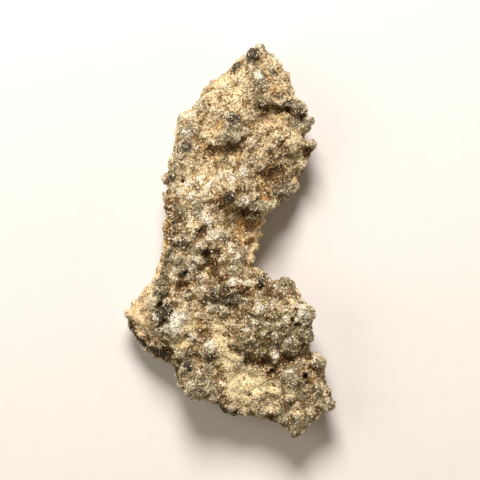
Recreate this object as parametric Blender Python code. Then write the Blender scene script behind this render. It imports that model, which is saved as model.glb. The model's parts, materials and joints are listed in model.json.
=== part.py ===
"""A natural sand fulgurite: one crooked crust of sand that lightning fused, lying as it rests.

It is a single piece. The crust is a flat, branching sheet with a high upper layer, a low wing on
its left and a low shelf on its right, between an upper and a lower lobe. Glassy knobs stand on it
and along its rim, and hollows and pinholes lie between them.

Frame: +Z up, +Y along the length towards the pointed end, origin under the middle of the box at
the level that the piece rests on. Lists are in millimetres, because they are read off a
millimetre grid. The mesh is in metres.
"""

import math
from random import Random

import bmesh
import bpy
import numpy as np
from mathutils import Euler, Matrix, Vector, geometry, noise

MM = 0.001

# Driving dimensions of the whole piece
LENGTH_MM = 45.6
WIDTH_MM = 24.6
HEIGHT_MM = 10.8

# The rim seen from above, clockwise from the pointed end
RIM_MM = (
    (3.2, 22.6), (4.2, 22.4), (5.3, 21.4), (6.1, 20.0), (6.8, 19.1), (7.2, 17.8), (7.7, 16.6),
    (8.4, 15.8), (8.7, 15.0), (8.4, 14.3), (9.2, 14.0), (9.3, 13.2), (8.9, 12.3), (9.6, 11.6),
    (10.2, 11.0), (9.9, 10.2), (9.1, 9.7), (8.6, 8.6), (7.9, 7.3), (7.1, 5.6), (5.9, 4.4),
    (4.5, 3.2), (4.1, 2.0), (3.5, 0.4), (3.2, -1.2), (2.7, -2.8), (3.6, -3.2), (4.4, -4.2),
    (5.2, -4.6), (6.5, -4.2), (7.5, -4.6), (7.9, -5.8), (8.5, -7.1), (9.4, -8.0), (9.5, -9.8),
    (9.4, -11.6), (9.4, -13.0), (10.6, -13.2), (11.1, -14.2), (11.1, -15.7), (11.6, -17.0),
    (12.0, -18.4), (11.9, -19.5), (10.6, -20.5), (9.4, -21.6), (7.9, -22.4), (6.5, -21.9),
    (4.8, -20.9), (2.8, -20.4), (0.4, -20.1), (-1.1, -19.0), (-3.2, -18.4), (-4.9, -17.8),
    (-5.6, -16.4), (-6.2, -14.8), (-7.4, -13.9), (-9.2, -13.0), (-10.5, -11.7), (-11.3, -10.2),
    (-11.7, -8.5), (-11.3, -7.5), (-10.3, -6.2), (-9.1, -4.6), (-8.1, -3.3), (-7.5, -1.4),
    (-7.2, 0.4), (-7.2, 2.6), (-7.2, 5.0), (-7.0, 7.0), (-6.7, 9.0), (-6.1, 10.8), (-5.9, 13.0),
    (-5.5, 14.8), (-4.3, 15.4), (-3.4, 16.8), (-2.4, 18.4), (-0.9, 19.2), (0.2, 20.4),
    (1.1, 21.7), (2.1, 22.4),
)

# Heights of the upper side, as (x, y, z), from the pointed end down
TOP_MM = (
    (3.0, 21.5, 6.6), (0.4, 19.3, 6.0), (3.5, 18.4, 8.4), (6.4, 18.2, 7.4), (-2.2, 17.2, 6.2),
    (1.2, 16.2, 8.4), (5.6, 16.5, 8.6), (-4.8, 13.6, 5.8), (-1.6, 14.0, 7.4), (0.8, 12.8, 9.4),
    (4.8, 14.2, 7.2), (8.0, 14.4, 7.0), (7.2, 12.0, 7.4), (9.6, 11.0, 7.2), (4.2, 11.6, 8.0),
    (-5.2, 10.6, 6.4), (-1.0, 10.2, 7.7), (2.4, 9.0, 8.4), (5.2, 8.0, 6.2), (7.8, 8.6, 5.4),
    (6.4, 5.8, 6.2), (-6.6, 7.2, 6.2), (-3.4, 7.4, 7.8), (0.2, 6.4, 9.0), (3.4, 5.2, 8.2),
    (-6.7, 4.6, 6.4), (-3.6, 4.0, 8.6), (0.4, 3.4, 7.4), (2.4, 2.0, 5.8), (2.6, -0.8, 5.3),
    (-1.2, 1.2, 8.6), (-4.4, 1.2, 8.6), (-7.0, 1.4, 5.0), (-5.6, -1.2, 8.4), (0.6, -1.8, 9.4),
    (-2.0, -3.0, 7.4), (-6.4, -4.0, 8.6), (0.8, -4.4, 9.8), (3.4, -4.4, 8.8), (-9.6, -6.4, 5.4),
    (-11.4, -8.4, 4.8), (-10.0, -10.4, 5.0), (-8.8, -12.2, 5.2), (-6.4, -8.4, 8.6),
    (-3.4, -8.0, 8.2), (0.4, -7.0, 8.7), (6.8, -5.2, 8.8), (4.4, -8.4, 9.8), (8.4, -8.8, 9.4),
    (2.8, -11.0, 9.5), (7.4, -11.4, 8.8), (-5.4, -11.6, 7.8), (-1.0, -11.4, 7.0),
    (2.6, -13.8, 7.2), (6.6, -13.8, 7.2), (10.2, -14.2, 7.0), (-4.6, -14.4, 6.6),
    (0.2, -15.2, 6.4), (-3.2, -16.6, 7.4), (3.0, -17.4, 6.8), (6.8, -16.4, 7.6),
    (9.6, -17.4, 6.4), (1.4, -19.2, 5.8), (5.0, -19.6, 6.4), (11.2, -18.8, 6.2),
    (8.0, -21.0, 6.2),
)

# Heights of the underside. A negative height is a foot, which the resting level cuts flat
UNDER_MM = (
    (3.2, 21.0, 2.4), (-2.6, 16.0, 1.8), (3.4, 15.2, -0.5), (8.4, 12.4, 2.2), (-4.6, 10.4, 0.9),
    (1.4, 9.2, 1.2), (6.4, 6.4, 1.6), (-5.2, 5.0, 1.4), (0.4, 3.2, 1.8), (-1.6, -1.0, 2.2),
    (-6.2, -2.4, 1.6), (1.8, -4.6, 1.5), (-10.4, -8.4, 1.6), (-6.4, -9.0, -0.5),
    (-1.2, -9.0, 1.4), (5.0, -8.4, 0.9), (-7.8, -12.4, 1.2), (2.4, -13.4, 1.3),
    (9.2, -11.6, 1.6), (8.6, -16.4, -0.5), (-2.8, -16.4, 0.8), (3.8, -19.0, 1.5),
    (11.0, -18.8, 2.0), (7.8, -21.6, 2.2),
)

# Knobs of the upper side, as (x, y, radius, how far the top stands out of the crust)
KNOBS_MM = (
    (2.6, 21.7, 0.9, 0.85), (3.5, 22.2, 0.7, 0.3), (0.7, 20.1, 0.7, 0.5), (5.0, 19.4, 0.5, 0.4),
    (3.5, 18.5, 0.9, 0.6), (4.3, 16.1, 0.8, 0.5), (6.9, 16.1, 0.6, 0.4), (8.1, 15.6, 0.8, 0.6),
    (9.0, 13.9, 0.7, 0.7), (9.4, 11.4, 0.7, 0.5), (9.9, 10.9, 0.5, 0.5), (7.5, 13.8, 0.7, 0.3),
    (0.5, 14.2, 0.8, 0.9), (0.4, 12.6, 1.6, 0.8), (-5.1, 11.0, 0.75, 0.8), (-4.8, 12.7, 1.1, 0.3),
    (-6.8, 7.3, 0.7, 0.5), (-6.9, 4.9, 0.7, 0.5), (0.0, 5.2, 0.7, 0.8), (1.7, 4.8, 0.8, 0.8),
    (3.4, 3.9, 0.8, 0.5), (0.9, 6.4, 0.7, 0.2), (-3.5, 4.1, 0.7, 0.6), (5.7, 6.4, 1.0, 0.3),
    (6.7, 5.7, 0.7, 0.3), (8.4, 9.3, 0.8, 0.4), (2.5, 9.2, 0.9, 0.2), (-0.7, 0.7, 0.8, 0.6),
    (-5.3, 0.0, 0.8, 0.4), (0.8, -1.4, 1.4, 0.5), (1.2, -2.9, 0.9, 0.3), (-5.2, -3.1, 0.7, 0.3),
    (0.4, -4.6, 0.8, 0.4), (2.3, -4.6, 0.8, 0.5), (3.6, -3.8, 0.6, 0.4), (4.3, -5.2, 0.6, 0.3),
    (6.9, -4.8, 0.8, 0.6), (-7.6, -5.7, 0.7, 0.5), (-8.1, -6.8, 0.6, 0.4), (-7.5, -8.4, 1.0, 0.9),
    (-6.1, -9.1, 0.9, 0.6), (-8.6, -8.6, 0.6, 0.3), (-4.7, -5.9, 0.7, 0.4), (-2.0, -6.0, 0.8, 0.5),
    (-0.5, -5.7, 0.6, 0.4), (-2.0, -7.6, 0.7, 0.3), (-2.3, -12.7, 1.1, 1.0),
    (-4.7, -14.5, 0.7, 0.5), (5.2, -13.2, 0.8, 0.8), (8.6, -8.5, 1.2, 0.4), (8.8, -10.9, 0.9, 0.4),
    (3.5, -8.1, 1.0, 0.4), (1.6, -9.6, 0.8, 0.2), (7.0, -15.8, 1.0, 0.5), (10.2, -13.9, 1.0, 0.6),
    (9.8, -16.1, 0.8, 0.3), (11.3, -18.9, 1.0, 0.5), (7.8, -21.6, 1.0, 0.5),
    (-3.3, -16.6, 1.8, 0.5), (-1.9, -17.6, 1.0, 0.3), (-11.3, -8.4, 0.7, 0.4),
    (-8.7, -11.9, 0.8, 0.3), (4.6, -19.2, 0.9, 0.2), (-4.0, -11.0, 0.9, 0.2),
)

# Crests: raised edges of the upper layer, as a radius and the points (x, y, z) of the top line
CRESTS_MM = (
    (0.6, ((-6.7, 4.8, 6.9), (-6.5, 2.8, 7.6), (-6.7, 0.6, 8.0), (-7.4, -2.6, 8.4), (-8.0, -5.0, 8.7),
           (-8.4, -7.4, 8.7), (-8.0, -10.0, 8.0))),
    (0.7, ((-2.0, 11.6, 7.9), (-0.4, 11.4, 9.2), (1.6, 11.6, 9.0))),
    (0.6, ((4.6, 15.9, 8.8), (6.2, 15.8, 8.5), (7.6, 15.6, 8.1))),
    (0.6, ((-1.4, 4.8, 8.8), (1.0, 4.5, 9.2), (3.4, 3.9, 8.4), (4.6, 4.2, 7.6))),
    (0.7, ((-1.2, -5.4, 9.0), (1.0, -5.2, 9.9), (3.0, -4.8, 9.5))),
    (0.9, ((0.8, -11.4, 8.4), (3.4, -11.9, 8.9), (6.2, -12.0, 8.6))),
)

# Hollows and pinholes of the upper side, as (x, y, radius, depth)
HOLLOWS_MM = (
    (-3.1, 1.0, 1.1, 1.0), (-2.4, -1.5, 0.8, 0.9), (-1.6, -4.0, 0.9, 1.0), (-5.2, -3.9, 0.6, 0.8),
    (3.6, -5.1, 0.7, 1.4), (9.0, 10.5, 0.8, 1.0), (2.0, -13.2, 1.5, 0.5), (4.1, -13.9, 1.3, 0.8),
    (7.9, -9.9, 0.5, 0.8), (8.7, -15.8, 0.6, 0.9), (4.9, -15.3, 0.5, 0.7), (-2.2, 10.2, 0.9, 0.4),
    (0.4, 10.6, 0.9, 0.6), (5.4, 15.1, 0.9, 0.9), (7.0, 15.0, 0.7, 0.7), (-5.3, -5.2, 0.8, 0.7),
    (4.8, 7.4, 1.2, 0.7), (10.5, -18.2, 0.7, 0.6), (-3.4, 6.0, 0.8, 0.5), (-7.0, -12.8, 0.9, 0.8),
)

# How the crust is gridded, rounded at its rim and fused
RIM_STEP_MM = 0.45
GRID_MM = 0.42
RIM_CLEARANCE_MM = 0.21
SAME_PLACE_MM = 1e-6
INSIDE_ONLY = 1
RIM_ROUNDING_MM = 1.5
HEIGHT_SMOOTHING_MM = 0.7
BEAD_SPACING = 0.7
BEAD_SIZES = (0.7, 1.15)
KNOB_DIVISIONS = 3
KNOB_SQUASH = (0.86, 1.12)
FUSE_CELL = 0.22 * MM

# The uneven skin that weathering leaves, as cell or wave length and height
PEBBLE_MM = (1.5, 0.6)
RIPPLE_MM = (0.75, 0.3)
SWELL_MM = (4.2, 0.55)

# The underside has its own scattered knobs and bubble holes
UNDER_KNOBS = 34
UNDER_KNOB_RADIUS_MM = (0.55, 1.15)
UNDER_KNOB_SINK = 0.25
FOOT_CLEARANCE_MM = 0.35
UNDER_BUBBLES = 26
UNDER_BUBBLE_RADIUS_MM = (0.5, 1.2)
UNDER_BUBBLE_DEPTH = 0.8
UNDER_MARGIN_MM = 1.2
SEED = 9

TRIANGLES = 9600
SOLE_LEVEL_MM = 0.12

STONE_COLOUR = (0.46, 0.37, 0.24, 1.0)
STONE_ROUGHNESS = 0.78


def closed_curve(points, step):
    """Return points about one step apart on the smooth closed curve through the given ones."""
    knots = np.array(points)
    curve = []
    for index, start in enumerate(knots):
        before = knots[index - 1]
        end = knots[(index + 1) % len(knots)]
        after = knots[(index + 2) % len(knots)]
        count = max(1, round(np.linalg.norm(end - start) / step))
        for t in np.arange(count) / count:
            straight = 2.0 * start + (end - before) * t
            bend = (2.0 * before - 5.0 * start + 4.0 * end - after) * t**2
            twist = (3.0 * start - before - 3.0 * end + after) * t**3
            curve.append(0.5 * (straight + bend + twist))
    return np.array(curve)


def distance_to_ring(points, ring):
    """Return each point's distance from the nearest side of the closed ring."""
    start = ring
    side = np.roll(ring, -1, axis=0) - ring
    gap = points[:, None, :] - start[None, :, :]
    share = np.clip((gap * side).sum(axis=2) / (side**2).sum(axis=1), 0.0, 1.0)
    return np.linalg.norm(gap - share[:, :, None] * side, axis=2).min(axis=1)


def inside_ring(points, ring):
    """Return which points lie inside the ring, by counting the sides to the right of each."""
    end = np.roll(ring, -1, axis=0)
    x, y = points[:, 0:1], points[:, 1:2]
    crosses = (ring[:, 1] > y) != (end[:, 1] > y)
    rise = np.where(end[:, 1] == ring[:, 1], 1.0, end[:, 1] - ring[:, 1])
    meets_at = ring[:, 0] + (y - ring[:, 1]) / rise * (end[:, 0] - ring[:, 0])
    return (crosses & (x < meets_at)).sum(axis=1) % 2 == 1


class HeightField:
    """A smooth surface through scattered heights."""

    def __init__(self, samples):
        """Solve for the weight of each sample's radial spread."""
        samples = np.array(samples)
        self.places = samples[:, :2]
        self.level = samples[:, 2].mean()
        self.weights = np.linalg.solve(self.spread(self.places), samples[:, 2] - self.level)

    def spread(self, points):
        """Return how strongly each sample acts at each point."""
        gap = np.linalg.norm(points[:, None, :] - self.places[None, :, :], axis=2)
        return np.sqrt(gap**2 + HEIGHT_SMOOTHING_MM**2)

    def at(self, points):
        """Return the height at each point."""
        return self.level + self.spread(np.asarray(points)) @ self.weights


class Crust:
    """The flat branching sheet: its rim, and the heights of its two sides inside it."""

    def __init__(self):
        """Set up the rim and the two height fields."""
        self.ring = closed_curve(RIM_MM, RIM_STEP_MM)
        self.top = HeightField(TOP_MM)
        self.under = HeightField(UNDER_MM)

    def sides(self, points):
        """Return the upper and lower heights at points inside the rim, rounded off towards it."""
        points = np.asarray(points, dtype=float)
        upper = self.top.at(points)
        lower = self.under.at(points)
        middle = 0.5 * (upper + lower)
        reach = np.clip(distance_to_ring(points, self.ring) / RIM_ROUNDING_MM, 0.0, 1.0)
        rounding = np.sqrt(1.0 - (1.0 - reach) ** 2)
        half = 0.5 * (upper - lower) * rounding
        return middle + half, middle - half

    def grid(self):
        """Return the points of a square grid that lie well inside the rim."""
        low = self.ring.min(axis=0)
        high = self.ring.max(axis=0)
        axes = [np.arange(low[axis], high[axis], GRID_MM) for axis in (0, 1)]
        points = np.stack(np.meshgrid(*axes), axis=-1).reshape(-1, 2)
        points = points[inside_ring(points, self.ring)]
        return points[distance_to_ring(points, self.ring) > RIM_CLEARANCE_MM]

    def add_to(self, bm):
        """Build the closed sheet: an upper and a lower skin that share the rim."""
        rim_count = len(self.ring)
        flat = np.vstack([self.ring, self.grid()])
        sides = [(index, (index + 1) % rim_count) for index in range(rim_count)]
        corners = [Vector(point) for point in flat]
        flat, _, triangles, *_ = geometry.delaunay_2d_cdt(corners, sides, [], INSIDE_ONLY, SAME_PLACE_MM)
        upper, lower = self.sides([point[:] for point in flat])
        top = [bm.verts.new((p.x * MM, p.y * MM, z * MM)) for p, z in zip(flat, upper)]
        under = list(top)
        for index in range(rim_count, len(flat)):
            point = flat[index]
            under[index] = bm.verts.new((point.x * MM, point.y * MM, lower[index] * MM))
        for corner in triangles:
            bm.faces.new([top[index] for index in corner])
            bm.faces.new([under[index] for index in reversed(corner)])


def add_knob(bm, centre, radius, rng):
    """Add one slightly squashed, turned round lump. The centre and radius are in millimetres."""
    squash = [rng.uniform(*KNOB_SQUASH) for _ in range(3)]
    turn = Euler([rng.uniform(0.0, math.tau) for _ in range(3)]).to_matrix().to_4x4()
    place = Matrix.Translation(Vector(centre) * MM) @ turn @ Matrix.Diagonal((*squash, 1.0))
    bmesh.ops.create_icosphere(bm, subdivisions=KNOB_DIVISIONS, radius=radius * MM, matrix=place)


def add_top_knobs(bm, crust, rng):
    """Set the knobs that show from above on the upper side."""
    for x, y, radius, stand in KNOBS_MM:
        upper, _ = crust.sides([(x, y)])
        add_knob(bm, (x, y, upper[0] + stand - radius), radius, rng)


def add_crests(bm, rng):
    """Lay each crest as a row of uneven lumps."""
    for radius, points in CRESTS_MM:
        for start, end in zip(points, points[1:]):
            start, end = Vector(start), Vector(end)
            count = max(1, round((end - start).length / (radius * BEAD_SPACING)))
            for step in range(count + 1):
                bead = radius * rng.uniform(*BEAD_SIZES)
                centre = start.lerp(end, step / count) - Vector((0.0, 0.0, radius))
                add_knob(bm, centre, bead, rng)


def under_places(crust, count, rng):
    """Return seeded places inside the rim for what the underside carries."""
    low = crust.ring.min(axis=0)
    high = crust.ring.max(axis=0)
    places = []
    while len(places) < count:
        place = (rng.uniform(low[0], high[0]), rng.uniform(low[1], high[1]))
        spot = np.array([place])
        if inside_ring(spot, crust.ring)[0] and distance_to_ring(spot, crust.ring)[0] > UNDER_MARGIN_MM:
            places.append(place)
    return places


def add_under_knobs(bm, crust, rng):
    """Scatter knobs over the underside, none of them lower than the feet."""
    for x, y in under_places(crust, UNDER_KNOBS, rng):
        _, lower = crust.sides([(x, y)])
        radius = rng.uniform(*UNDER_KNOB_RADIUS_MM)
        height = max(lower[0] + UNDER_KNOB_SINK * radius, radius + FOOT_CLEARANCE_MM)
        add_knob(bm, (x, y, height), radius, rng)


def remade(mesh, kind, settings):
    """Return the mesh after one modifier of that kind and settings, and drop the old mesh."""
    obj = bpy.data.objects.new("remaking", mesh)
    bpy.context.collection.objects.link(obj)
    modifier = obj.modifiers.new("Remake", kind)
    for name, value in settings.items():
        setattr(modifier, name, value)
    bpy.context.view_layer.update()
    evaluated = obj.evaluated_get(bpy.context.evaluated_depsgraph_get())
    skin = bpy.data.meshes.new_from_object(evaluated)
    bpy.data.objects.remove(obj)
    bpy.data.meshes.remove(mesh)
    return skin


def fused(mesh):
    """Return the overlapping closed lumps of a mesh as one skin of even cells."""
    return remade(mesh, "REMESH", {"mode": "VOXEL", "voxel_size": FUSE_CELL})


def thinned(mesh, triangles):
    """Return the mesh with its edges collapsed until about that many triangles are left."""
    ratio = triangles / sum(len(face.vertices) - 2 for face in mesh.polygons)
    return remade(mesh, "DECIMATE", {"ratio": ratio, "use_collapse_triangulate": True})


def weathering(point):
    """Return how far the skin stands out at a point in millimetres: pebbles, ripples, swells."""
    pebble_size, pebble_height = PEBBLE_MM
    ripple_size, ripple_height = RIPPLE_MM
    swell_size, swell_height = SWELL_MM
    nearest = noise.voronoi(point / pebble_size)[0][0]
    pebble = (0.5 - nearest) * pebble_height
    ripple = noise.noise(point / ripple_size) * ripple_height
    swell = noise.noise(point / swell_size) * swell_height
    return pebble + ripple + swell


def coordinates(mesh):
    """Return the mesh's points as an array of rows, in millimetres."""
    points = np.empty(len(mesh.vertices) * 3)
    mesh.vertices.foreach_get("co", points)
    return points.reshape(-1, 3) / MM


def normals(mesh):
    """Return the normals of the mesh's points as an array of rows."""
    directions = np.empty(len(mesh.vertices) * 3)
    mesh.vertices.foreach_get("normal", directions)
    return directions.reshape(-1, 3)


def set_coordinates(mesh, points):
    """Move the mesh's points to the rows of an array in millimetres."""
    mesh.vertices.foreach_set("co", (points * MM).ravel())
    mesh.update()


def weather(mesh):
    """Move each point of the skin along its normal by the weathering there."""
    points = coordinates(mesh)
    heights = np.array([weathering(Vector(point)) for point in points])
    set_coordinates(mesh, points + normals(mesh) * heights[:, None])


def press_hollows(mesh, hollows, side):
    """Press round hollows into the side that faces up, 1, or down, -1."""
    points = coordinates(mesh)
    facing = side * normals(mesh)[:, 2] > 0.0
    for x, y, radius, depth in hollows:
        share = np.hypot(points[:, 0] - x, points[:, 1] - y) / radius
        inside = facing & (share < 1.0)
        points[inside, 2] -= side * depth * (1.0 - share[inside] ** 2) ** 2
    set_coordinates(mesh, points)


def under_hollows(crust, rng):
    """Return seeded bubble holes of the underside, as (x, y, radius, depth)."""
    holes = []
    for x, y in under_places(crust, UNDER_BUBBLES, rng):
        radius = rng.uniform(*UNDER_BUBBLE_RADIUS_MM)
        holes.append((x, y, radius, UNDER_BUBBLE_DEPTH * radius))
    return holes


def settle(mesh):
    """Cut the feet flat at the resting level, bring the box to size and centre it over the origin."""
    points = coordinates(mesh)
    points[:, 2] = np.where(points[:, 2] < SOLE_LEVEL_MM, 0.0, points[:, 2])
    low, high = points.min(axis=0), points.max(axis=0)
    points[:, :2] -= 0.5 * (low + high)[:2]
    points *= np.array((WIDTH_MM, LENGTH_MM, HEIGHT_MM)) / (high - low)
    set_coordinates(mesh, points)


def stone_material():
    """Return the plain sand colour of the piece."""
    material = bpy.data.materials.new("fused_sand")
    material.use_nodes = True
    shader = material.node_tree.nodes["Principled BSDF"]
    shader.inputs["Base Color"].default_value = STONE_COLOUR
    shader.inputs["Roughness"].default_value = STONE_ROUGHNESS
    shader.inputs["Metallic"].default_value = 0.0
    return material


def build_fulgurite():
    """Model the whole piece as one closed solid."""
    rng = Random(SEED)
    crust = Crust()
    bm = bmesh.new()
    crust.add_to(bm)
    add_top_knobs(bm, crust, rng)
    add_crests(bm, rng)
    add_under_knobs(bm, crust, rng)
    lumps = bpy.data.meshes.new("lumps")
    bm.to_mesh(lumps)
    bm.free()
    skin = fused(lumps)
    weather(skin)
    press_hollows(skin, HOLLOWS_MM, side=1)
    press_hollows(skin, under_hollows(crust, rng), side=-1)
    skin = thinned(skin, TRIANGLES)
    settle(skin)
    skin.name = "fulgurite"
    skin.materials.append(stone_material())
    skin.shade_smooth()
    bpy.context.collection.objects.link(bpy.data.objects.new("fulgurite", skin))


def main():
    """Clear the scene and build the piece."""
    for obj in list(bpy.data.objects):
        bpy.data.objects.remove(obj)
    build_fulgurite()


main()
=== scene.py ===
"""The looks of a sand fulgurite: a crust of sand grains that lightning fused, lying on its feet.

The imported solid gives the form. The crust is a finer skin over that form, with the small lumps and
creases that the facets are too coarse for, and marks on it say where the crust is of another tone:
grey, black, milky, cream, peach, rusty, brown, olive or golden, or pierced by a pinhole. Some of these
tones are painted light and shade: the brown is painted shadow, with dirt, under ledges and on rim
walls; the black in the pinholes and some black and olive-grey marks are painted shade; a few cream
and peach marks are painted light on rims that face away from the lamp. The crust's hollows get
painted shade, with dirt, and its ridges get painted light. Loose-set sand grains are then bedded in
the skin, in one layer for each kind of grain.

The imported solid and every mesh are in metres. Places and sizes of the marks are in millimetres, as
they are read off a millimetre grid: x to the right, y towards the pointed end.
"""

import json
import logging
import math
from dataclasses import dataclass
from enum import Enum
from typing import Any, Optional, Union

import bmesh
import bpy
import numpy as np
from bpy.types import ID, Collection, Material, Mesh, Node, NodeSocket, NodeTree, Object
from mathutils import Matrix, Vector, noise
from mathutils.bvhtree import BVHTree

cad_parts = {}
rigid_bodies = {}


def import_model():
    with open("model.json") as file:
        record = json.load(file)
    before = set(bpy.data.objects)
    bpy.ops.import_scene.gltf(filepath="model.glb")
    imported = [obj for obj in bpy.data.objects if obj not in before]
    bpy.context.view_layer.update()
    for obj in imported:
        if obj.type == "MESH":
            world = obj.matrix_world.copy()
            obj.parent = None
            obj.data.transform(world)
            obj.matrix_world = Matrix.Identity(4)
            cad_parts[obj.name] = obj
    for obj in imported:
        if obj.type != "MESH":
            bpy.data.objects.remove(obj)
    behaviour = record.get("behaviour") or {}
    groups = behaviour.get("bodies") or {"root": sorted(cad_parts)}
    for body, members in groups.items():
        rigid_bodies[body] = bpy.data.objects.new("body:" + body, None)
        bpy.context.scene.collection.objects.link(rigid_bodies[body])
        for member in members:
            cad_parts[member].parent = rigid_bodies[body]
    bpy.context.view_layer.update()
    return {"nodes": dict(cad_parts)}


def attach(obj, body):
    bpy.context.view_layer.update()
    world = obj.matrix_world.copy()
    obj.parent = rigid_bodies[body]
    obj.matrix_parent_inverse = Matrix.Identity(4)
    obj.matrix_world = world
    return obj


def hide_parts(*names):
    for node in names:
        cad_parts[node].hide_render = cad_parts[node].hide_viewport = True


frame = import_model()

LOG = logging.getLogger("fulgurite")

NODE = "fulgurite"
BODY = "root"

MM = 0.001
SAME_PLACE = 1e-7
# The marks are read as they are seen from the eye, near the middle level of the stone
EYE_MM = (1.16, 0.0, 224.5)
READING_LEVEL_MM = 4.5
# The middle of a knob or lump rises and its border sinks. This is the level between the two
CREASE = 0.35
SWELL_STEEPNESS = 1.5
# A mark is whole up to the first share of its radius, and has faded out at the second
MARK_EDGE = (0.45, 1.3)
# The upward part of the normal, under which a place faces down, and over which it faces up
FACES_DOWN = (-0.1, 0.25)
NOISE_MEAN = 0.5
DULL_SPECULAR = 0.2
GOLDEN_TURN = math.pi * (3.0 - math.sqrt(5.0))
# Attributes of the meshes: the shade of a grain, and where the crust carries grains
SHADE = "shade"
COVER = "cover"
Colour = tuple[float, float, float]
Row = tuple[float, float, float, float]
Term = Union["Field", float]


class Tone(Enum):
    """What the crust is made of at a place, or the light or shade painted on it there. The value is the
    name of the mesh attribute.

    Painted shade, with dirt, in the hollows and painted light on the ridges follow from the form of the
    crust. The others are set by marks. Of these, the brownish tone is mostly painted shadow, with dirt;
    the pinholes' black is painted shade; the black and the olive-grey tones are partly painted shade.
    """

    GREY = "grey"
    DARK = "dark"
    MILKY = "milky"
    CREAM = "cream"
    PEACH = "peach"
    RUST = "rust"
    BROWN = "brown"
    OLIVE = "olive"
    GOLD = "gold"
    PIT = "pit"
    HOLLOW = "hollow"
    RIDGE = "ridge"


Masks = dict[Tone, np.ndarray]

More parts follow.
